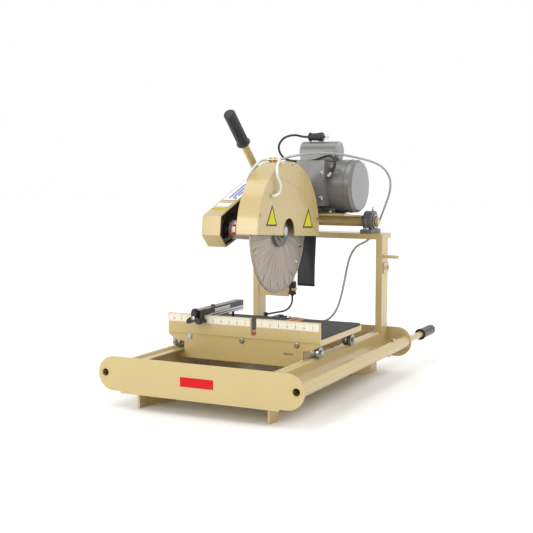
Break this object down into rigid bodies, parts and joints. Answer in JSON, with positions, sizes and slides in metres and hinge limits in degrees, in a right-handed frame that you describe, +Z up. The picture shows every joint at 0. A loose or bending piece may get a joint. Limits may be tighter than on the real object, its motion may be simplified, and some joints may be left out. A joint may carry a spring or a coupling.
{
  "type": "masonry saw",
  "caption": "Floor-standing electric masonry saw with a swinging blade head, rolling cart, rip guide and slide-out lift bars.",
  "frame": {"origin": "on the floor under the middle of the machine, lift bars out", "axes": "+X operator's right, +Y towards the rear lift bars, +Z up"},
  "size_m": [0.6038, 1.085, 0.8011],
  "materials": {
    "tan_paint": "semi-gloss powder coat",
    "zinc": "zinc plated",
    "bright_steel": "machined",
    "housing_steel": "machined, dull",
    "cast_gray": "painted casting",
    "blade_steel": "ground, dull",
    "motor_paint": "satin",
    "bell_aluminium": "satin",
    "white_vinyl": "gloss",
    "black_plastic": "matte",
    "black_rubber": "satin",
    "orange_plastic": "matte",
    "brass": "satin",
    "white_tube": "gloss",
    "gray_hose": "satin",
    "wheel_plastic": "matte"
  },
  "bodies": {
    "frame": {"front_plate": "tan_paint", "rear_plate": "tan_paint", "rails": "tan_paint", "pan": "tan_paint", "carry_tubes": "tan_paint", "feet": "tan_paint", "gantry": "tan_paint", "pillow_blocks": "cast_gray", "frame_bolts": "zinc", "post_brackets": "tan_paint", "pump_body": "black_plastic", "pump_cord": "black_rubber", "pump_plug": "black_plastic", "lower_hose": "gray_hose"},
    "head": {"pivot_shaft": "tan_paint", "head_plate": "tan_paint", "spindle_housing": "housing_steel", "blade_guard": "tan_paint", "guard_side_cover": "tan_paint", "splash_flap": "black_rubber", "flap_strip": "zinc", "belt_guard": "tan_paint", "belt_backplate": "black_plastic", "drive_belt": "black_rubber", "head_bolts": "zinc", "motor_housing": "motor_paint", "motor_bells": "motor_paint", "capacitor_cover": "motor_paint", "conduit_box": "motor_paint", "cord_gland": "zinc", "handle_tube": "tan_paint", "handle_grip": "black_rubber", "water_tee": "brass", "left_spray_tube": "white_tube", "right_spray_tube": "white_tube", "upper_hose": "gray_hose", "motor_cord": "black_rubber", "motor_plug": "black_plastic"},
    "spindle": {"spindle_shaft": "bright_steel", "blade_flanges": "cast_gray", "arbor_nut": "cast_gray", "blade": "blade_steel", "arbor_pulley": "cast_gray"},
    "rotor": {"motor_rotor": "bright_steel", "motor_pulley": "cast_gray"},
    "cart": {"cart_deck": "tan_paint", "cart_fence": "tan_paint", "deck_mat": "black_rubber", "cut_insert": "orange_plastic", "cart_bolts": "zinc"},
    "front_left_wheel": {"wheel_front_left": "wheel_plastic"},
    "front_right_wheel": {"wheel_front_right": "wheel_plastic"},
    "rear_left_wheel": {"wheel_rear_left": "wheel_plastic"},
    "rear_right_wheel": {"wheel_rear_right": "wheel_plastic"},
    "guide": {"guide_bar": "black_plastic"},
    "guide_clamp": {"guide_knob": "black_plastic"},
    "left_lift": {"left_lift_bar": "tan_paint", "left_lift_grip": "black_rubber"},
    "right_lift": {"right_lift_bar": "tan_paint", "right_lift_grip": "black_rubber"}
  },
  "joints": [
    {"name": "head_tilt", "type": "hinge", "parent": "frame", "child": "head", "pos_m": [0, 0.2515, 0.4701], "axis": [1, 0, 0], "range_deg": [0, 14.5]},
    {"name": "spindle_spin", "type": "hinge", "parent": "head", "child": "spindle", "pos_m": [0, -0.14127, 0.45847], "axis": [1, 0, 0], "continuous": true},
    {"name": "rotor_spin", "type": "hinge", "parent": "head", "child": "rotor", "pos_m": [0, 0.18302, 0.58025], "axis": [1, 0, 0], "continuous": true},
    {"name": "cart_slide", "type": "slide", "parent": "frame", "child": "cart", "axis": [0, 1, 0], "range_m": [-0.235, 0.12]},
    {"name": "guide_slide", "type": "slide", "parent": "cart", "child": "guide", "axis": [1, 0, 0], "range_m": [-0.075, 0.12]},
    {"name": "knob_turn", "type": "hinge", "parent": "guide", "child": "guide_clamp", "pos_m": [-0.13, -0.3285, 0.222], "axis": [0, 1, 0], "range_deg": [0, 360]},
    {"name": "left_lift_slide", "type": "slide", "parent": "frame", "child": "left_lift", "axis": [0, 1, 0], "range_m": [-0.145, 0.125]},
    {"name": "right_lift_slide", "type": "slide", "parent": "frame", "child": "right_lift", "axis": [0, 1, 0], "range_m": [-0.145, 0.125]},
    {"name": "front_left_spin", "type": "hinge", "parent": "cart", "child": "front_left_wheel", "pos_m": [-0.215, -0.2705, 0.1435], "axis": [1, 0, 0], "continuous": true},
    {"name": "front_right_spin", "type": "hinge", "parent": "cart", "child": "front_right_wheel", "pos_m": [0.215, -0.2705, 0.1435], "axis": [1, 0, 0], "continuous": true},
    {"name": "rear_left_spin", "type": "hinge", "parent": "cart", "child": "rear_left_wheel", "pos_m": [-0.215, -0.0395, 0.1435], "axis": [1, 0, 0], "continuous": true},
    {"name": "rear_right_spin", "type": "hinge", "parent": "cart", "child": "rear_right_wheel", "pos_m": [0.215, -0.0395, 0.1435], "axis": [1, 0, 0], "continuous": true}
  ],
  "couplings": [
    {"joint": "spindle_spin", "follows": "rotor_spin", "ratio": 1.6667},
    {"joint": "front_left_spin", "follows": "cart_slide", "rad_per_m": -60.606},
    {"joint": "front_right_spin", "follows": "cart_slide", "rad_per_m": -60.606},
    {"joint": "rear_left_spin", "follows": "cart_slide", "rad_per_m": -60.606},
    {"joint": "rear_right_spin", "follows": "cart_slide", "rad_per_m": -60.606}
  ]
}
